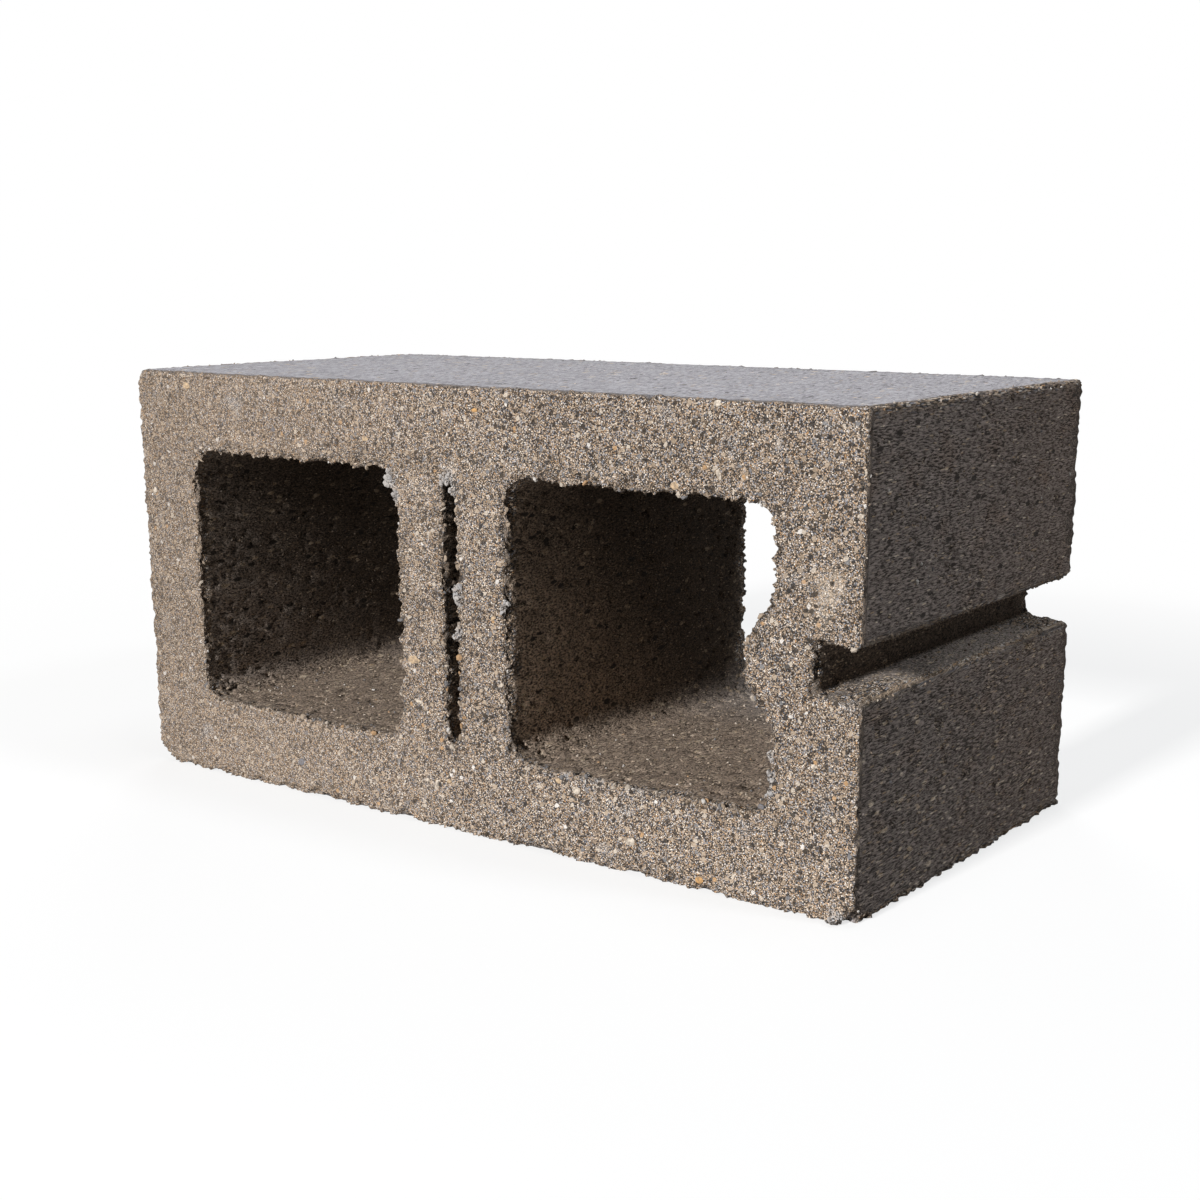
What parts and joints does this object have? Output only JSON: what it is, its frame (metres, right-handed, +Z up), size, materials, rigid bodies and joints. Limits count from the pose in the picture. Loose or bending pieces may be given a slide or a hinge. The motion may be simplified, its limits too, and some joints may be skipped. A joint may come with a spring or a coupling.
{
  "type": "concrete sash block",
  "caption": "Hollow concrete masonry block with tapered cells, a slotted centre web and a sash groove down one end, lying on a face shell.",
  "frame": {"origin": "middle of the underside, on the floor that the block lies on", "axes": "+X along the block towards the grooved end, +Y along the cells from the thick-walled bed face to the thin-walled one, +Z up"},
  "size_m": [0.3968, 0.1938, 0.1937],
  "materials": {
    "concrete": "coarse sandy aggregate on the bed faces, close grey cement paste with drag marks on the moulded faces"
  },
  "bodies": {
    "root": {"block": "concrete"}
  },
  "joints": []
}
